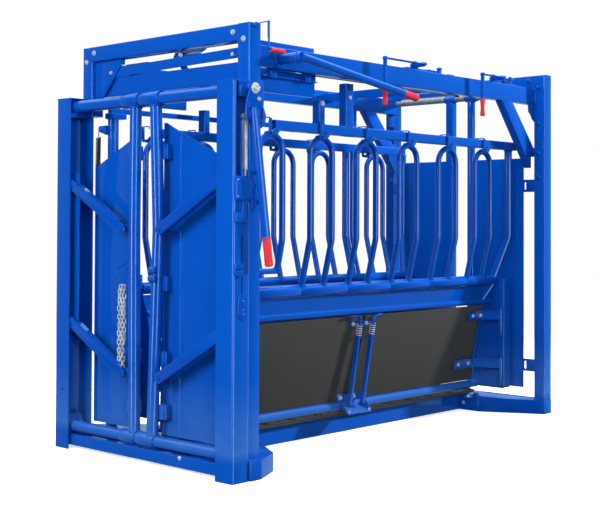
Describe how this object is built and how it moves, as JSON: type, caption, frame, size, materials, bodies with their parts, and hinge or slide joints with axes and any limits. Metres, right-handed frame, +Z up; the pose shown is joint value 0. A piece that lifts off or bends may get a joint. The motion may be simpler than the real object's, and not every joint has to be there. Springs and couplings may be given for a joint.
{
  "type": "cattle crush",
  "caption": "Steel squeeze chute with a sliding neck-bar headgate, tapered squeeze walls with drop bars and kick doors, and a sliding tailgate.",
  "frame": {"origin": "underside of the middle floor cross-member, on the ground plane, half way along the crush", "axes": "+Z up, -Y towards the headgate, +X towards the operator's side"},
  "size_m": [1.3885, 2.73, 2.0792],
  "materials": {
    "blue_paint": "glossy cobalt blue powder coat on welded steel",
    "red_rubber": "ribbed matte red rubber grip",
    "black_board": "matte charcoal plastic board with a fine grain",
    "zinc_steel": "zinc plated steel, lightly scuffed",
    "deck_rubber": "dark non-slip floor with cross cleats"
  },
  "bodies": {
    "frame": {"base_frame": "blue_paint", "floor_deck": "deck_rubber", "headgate_posts": "blue_paint", "front_arch": "blue_paint", "head_tie_bar": "blue_paint", "far_side_pipe": "blue_paint", "rear_frame": "blue_paint", "tailgate_track": "zinc_steel", "top_beams": "blue_paint"},
    "gate_right": {"neck_bar_right": "blue_paint", "head_panel_right": "blue_paint"},
    "slider_right": {"slider_right": "blue_paint"},
    "gate_left": {"neck_bar_left": "blue_paint", "head_panel_left": "blue_paint"},
    "slider_left": {"slider_left": "blue_paint"},
    "arm_upper_right": {"arm_upper_right": "blue_paint"},
    "arm_lower_right": {"arm_lower_right": "blue_paint"},
    "arm_upper_left": {"arm_upper_left": "blue_paint"},
    "arm_lower_left": {"arm_lower_left": "blue_paint"},
    "headgate_lever": {"headgate_lever": "blue_paint", "headgate_grip": "red_rubber"},
    "friction_bar": {"friction_bar": "zinc_steel"},
    "latch_cam": {"latch_cam": "blue_paint"},
    "trip_lever": {"trip_lever": "blue_paint", "trip_grip": "red_rubber"},
    "wall_near": {"wall_near": "blue_paint"},
    "wall_far": {"wall_far": "blue_paint"},
    "squeeze_lever": {"squeeze_lever": "blue_paint", "squeeze_grip": "red_rubber"},
    "drop_bar_near_1": {"drop_bar_near_1": "blue_paint"},
    "drop_bar_near_2": {"drop_bar_near_2": "blue_paint"},
    "drop_bar_near_3": {"drop_bar_near_3": "blue_paint"},
    "drop_bar_near_4": {"drop_bar_near_4": "blue_paint"},
    "drop_bar_near_5": {"drop_bar_near_5": "blue_paint"},
    "drop_bar_near_6": {"drop_bar_near_6": "blue_paint"},
    "kick_rear_near": {"kick_door_rear_near": "black_board", "kick_strap_rear_near": "blue_paint"},
    "bolt_rear_near": {"slide_bolt_rear_near": "blue_paint"},
    "kick_front_near": {"kick_door_front_near": "black_board", "kick_strap_front_near": "blue_paint"},
    "bolt_front_near": {"slide_bolt_front_near": "blue_paint"},
    "drop_bar_far_1": {"drop_bar_far_1": "blue_paint"},
    "drop_bar_far_2": {"drop_bar_far_2": "blue_paint"},
    "drop_bar_far_3": {"drop_bar_far_3": "blue_paint"},
    "drop_bar_far_4": {"drop_bar_far_4": "blue_paint"},
    "drop_bar_far_5": {"drop_bar_far_5": "blue_paint"},
    "drop_bar_far_6": {"drop_bar_far_6": "blue_paint"},
    "kick_rear_far": {"kick_door_rear_far": "black_board", "kick_strap_rear_far": "blue_paint"},
    "bolt_rear_far": {"slide_bolt_rear_far": "blue_paint"},
    "kick_front_far": {"kick_door_front_far": "black_board", "kick_strap_front_far": "blue_paint"},
    "bolt_front_far": {"slide_bolt_front_far": "blue_paint"},
    "tail_right": {"tail_door_right": "blue_paint"},
    "tail_left": {"tail_door_left": "blue_paint"},
    "tail_handle_front": {"tail_handle_front": "blue_paint", "tail_grip_front": "red_rubber"},
    "tail_handle_rear": {"tail_handle_rear": "blue_paint", "tail_grip_rear": "red_rubber"}
  },
  "joints": [
    {"name": "gate_right_slide", "type": "slide", "parent": "frame", "child": "gate_right", "axis": [1, 0, 0], "range_m": [0, 0.18]},
    {"name": "slider_right_slide", "type": "slide", "parent": "frame", "child": "slider_right", "axis": [0, 0, 1], "range_m": [0, 0.18]},
    {"name": "gate_left_slide", "type": "slide", "parent": "frame", "child": "gate_left", "axis": [-1, 0, 0], "range_m": [0, 0.18]},
    {"name": "slider_left_slide", "type": "slide", "parent": "frame", "child": "slider_left", "axis": [0, 0, 1], "range_m": [0, 0.18]},
    {"name": "arm_upper_right_hinge", "type": "hinge", "parent": "gate_right", "child": "arm_upper_right", "pos_m": [0.1425, -1.34, 1.118], "axis": [0, -1, 0], "range_deg": [0, 32]},
    {"name": "arm_lower_right_hinge", "type": "hinge", "parent": "gate_right", "child": "arm_lower_right", "pos_m": [0.1425, -1.34, 0.42], "axis": [0, -1, 0], "range_deg": [0, 32]},
    {"name": "arm_upper_left_hinge", "type": "hinge", "parent": "gate_left", "child": "arm_upper_left", "pos_m": [-0.1425, -1.34, 1.118], "axis": [0, 1, 0], "range_deg": [0, 32]},
    {"name": "arm_lower_left_hinge", "type": "hinge", "parent": "gate_left", "child": "arm_lower_left", "pos_m": [-0.1425, -1.34, 0.42], "axis": [0, 1, 0], "range_deg": [0, 32]},
    {"name": "headgate_lever_hinge", "type": "hinge", "parent": "frame", "child": "headgate_lever", "pos_m": [0.697, -1.277, 1.757], "axis": [1, 0, 0], "range_deg": [-90, 0]},
    {"name": "friction_bar_slide", "type": "slide", "parent": "frame", "child": "friction_bar", "axis": [0, 0, 1], "range_m": [0, 0.1325]},
    {"name": "latch_cam_hinge", "type": "hinge", "parent": "frame", "child": "latch_cam", "pos_m": [0.66, -1.242, 1.378], "axis": [1, 0, 0], "range_deg": [0, 25]},
    {"name": "trip_lever_hinge", "type": "hinge", "parent": "frame", "child": "trip_lever", "pos_m": [0.628, -1.205, 2.05], "axis": [1, 0, 0], "range_deg": [0, 35]},
    {"name": "wall_near_hinge", "type": "hinge", "parent": "frame", "child": "wall_near", "pos_m": [0.2, 0, 0.165], "axis": [0, 1, 0], "range_deg": [-7.8, 0]},
    {"name": "wall_far_hinge", "type": "hinge", "parent": "frame", "child": "wall_far", "pos_m": [-0.2, 0, 0.165], "axis": [0, -1, 0], "range_deg": [-7.8, 0]},
    {"name": "squeeze_lever_hinge", "type": "hinge", "parent": "frame", "child": "squeeze_lever", "pos_m": [0.7, -0.97, 1.922], "axis": [1, 0, 0], "range_deg": [-55, 0]},
    {"name": "drop_bar_near_1_hinge", "type": "hinge", "parent": "wall_near", "child": "drop_bar_near_1", "pos_m": [0.345, -0.877, 0.81], "axis": [0, 1, 0], "range_deg": [0, 110]},
    {"name": "drop_bar_near_2_hinge", "type": "hinge", "parent": "wall_near", "child": "drop_bar_near_2", "pos_m": [0.345, -0.5115, 0.81], "axis": [0, 1, 0], "range_deg": [0, 110]},
    {"name": "drop_bar_near_3_hinge", "type": "hinge", "parent": "wall_near", "child": "drop_bar_near_3", "pos_m": [0.345, -0.1545, 0.81], "axis": [0, 1, 0], "range_deg": [0, 110]},
    {"name": "drop_bar_near_4_hinge", "type": "hinge", "parent": "wall_near", "child": "drop_bar_near_4", "pos_m": [0.345, 0.2055, 0.81], "axis": [0, 1, 0], "range_deg": [0, 110]},
    {"name": "drop_bar_near_5_hinge", "type": "hinge", "parent": "wall_near", "child": "drop_bar_near_5", "pos_m": [0.345, 0.571, 0.81], "axis": [0, 1, 0], "range_deg": [0, 110]},
    {"name": "drop_bar_near_6_hinge", "type": "hinge", "parent": "wall_near", "child": "drop_bar_near_6", "pos_m": [0.345, 0.929, 0.81], "axis": [0, 1, 0], "range_deg": [0, 110]},
    {"name": "kick_rear_near_hinge", "type": "hinge", "parent": "wall_near", "child": "kick_rear_near", "pos_m": [0.41, 1.124, 0.4], "axis": [0, 0, -1], "range_deg": [-95, 0]},
    {"name": "bolt_rear_near_slide", "type": "slide", "parent": "kick_rear_near", "child": "bolt_rear_near", "axis": [0.1654, 0, 0.9862], "range_m": [0, 0.045]},
    {"name": "kick_front_near_hinge", "type": "hinge", "parent": "wall_near", "child": "kick_front_near", "pos_m": [0.41, -1.036, 0.4], "axis": [0, 0, 1], "range_deg": [-95, 0]},
    {"name": "bolt_front_near_slide", "type": "slide", "parent": "kick_front_near", "child": "bolt_front_near", "axis": [0.1654, 0, 0.9862], "range_m": [0, 0.045]},
    {"name": "drop_bar_far_1_hinge", "type": "hinge", "parent": "wall_far", "child": "drop_bar_far_1", "pos_m": [-0.345, -0.9, 0.81], "axis": [0, -1, 0], "range_deg": [0, 110]},
    {"name": "drop_bar_far_2_hinge", "type": "hinge", "parent": "wall_far", "child": "drop_bar_far_2", "pos_m": [-0.345, -0.575, 0.81], "axis": [0, -1, 0], "range_deg": [0, 110]},
    {"name": "drop_bar_far_3_hinge", "type": "hinge", "parent": "wall_far", "child": "drop_bar_far_3", "pos_m": [-0.345, -0.252, 0.81], "axis": [0, -1, 0], "range_deg": [0, 110]},
    {"name": "drop_bar_far_4_hinge", "type": "hinge", "parent": "wall_far", "child": "drop_bar_far_4", "pos_m": [-0.345, 0.069, 0.81], "axis": [0, -1, 0], "range_deg": [0, 110]},
    {"name": "drop_bar_far_5_hinge", "type": "hinge", "parent": "wall_far", "child": "drop_bar_far_5", "pos_m": [-0.345, 0.3925, 0.81], "axis": [0, -1, 0], "range_deg": [0, 110]},
    {"name": "drop_bar_far_6_hinge", "type": "hinge", "parent": "wall_far", "child": "drop_bar_far_6", "pos_m": [-0.345, 0.9165, 0.81], "axis": [0, -1, 0], "range_deg": [0, 110]},
    {"name": "kick_rear_far_hinge", "type": "hinge", "parent": "wall_far", "child": "kick_rear_far", "pos_m": [-0.41, 1.124, 0.4], "axis": [0, 0, 1], "range_deg": [-95, 0]},
    {"name": "bolt_rear_far_slide", "type": "slide", "parent": "kick_rear_far", "child": "bolt_rear_far", "axis": [-0.1654, 0, 0.9862], "range_m": [0, 0.045]},
    {"name": "kick_front_far_hinge", "type": "hinge", "parent": "wall_far", "child": "kick_front_far", "pos_m": [-0.41, -1.036, 0.4], "axis": [0, 0, -1], "range_deg": [-95, 0]},
    {"name": "bolt_front_far_slide", "type": "slide", "parent": "kick_front_far", "child": "bolt_front_far", "axis": [-0.1654, 0, 0.9862], "range_m": [0, 0.045]},
    {"name": "tail_right_slide", "type": "slide", "parent": "frame", "child": "tail_right", "axis": [1, 0, 0], "range_m": [0, 0.26]},
    {"name": "tail_left_slide", "type": "slide", "parent": "frame", "child": "tail_left", "axis": [-1, 0, 0], "range_m": [0, 0.26]},
    {"name": "tail_handle_front_hinge", "type": "hinge", "parent": "frame", "child": "tail_handle_front", "pos_m": [0.6, 0.1, 2.004], "axis": [1, 0, 0], "range_deg": [0, 50]},
    {"name": "tail_handle_rear_hinge", "type": "hinge", "parent": "frame", "child": "tail_handle_rear", "pos_m": [0.6, 0.859, 2.004], "axis": [1, 0, 0], "range_deg": [0, 50]}
  ],
  "couplings": [
    {"joint": "gate_left_slide", "follows": "gate_right_slide", "ratio": 1},
    {"joint": "slider_right_slide", "follows": "gate_right_slide", "ratio": 0.995},
    {"joint": "slider_left_slide", "follows": "gate_right_slide", "ratio": 0.995},
    {"joint": "arm_upper_right_hinge", "follows": "gate_right_slide", "rad_per_m": 3.097},
    {"joint": "arm_lower_right_hinge", "follows": "gate_right_slide", "rad_per_m": 3.097},
    {"joint": "arm_upper_left_hinge", "follows": "gate_right_slide", "rad_per_m": 3.097},
    {"joint": "arm_lower_left_hinge", "follows": "gate_right_slide", "rad_per_m": 3.097},
    {"joint": "headgate_lever_hinge", "follows": "gate_right_slide", "rad_per_m": -8.72},
    {"joint": "friction_bar_slide", "follows": "gate_right_slide", "ratio": 0.736},
    {"joint": "wall_far_hinge", "follows": "wall_near_hinge", "ratio": 1},
    {"joint": "squeeze_lever_hinge", "follows": "wall_near_hinge", "ratio": 7.05},
    {"joint": "tail_left_slide", "follows": "tail_right_slide", "ratio": 1},
    {"joint": "tail_handle_front_hinge", "follows": "tail_right_slide", "rad_per_m": 3.356},
    {"joint": "tail_handle_rear_hinge", "follows": "tail_right_slide", "rad_per_m": 3.356}
  ]
}
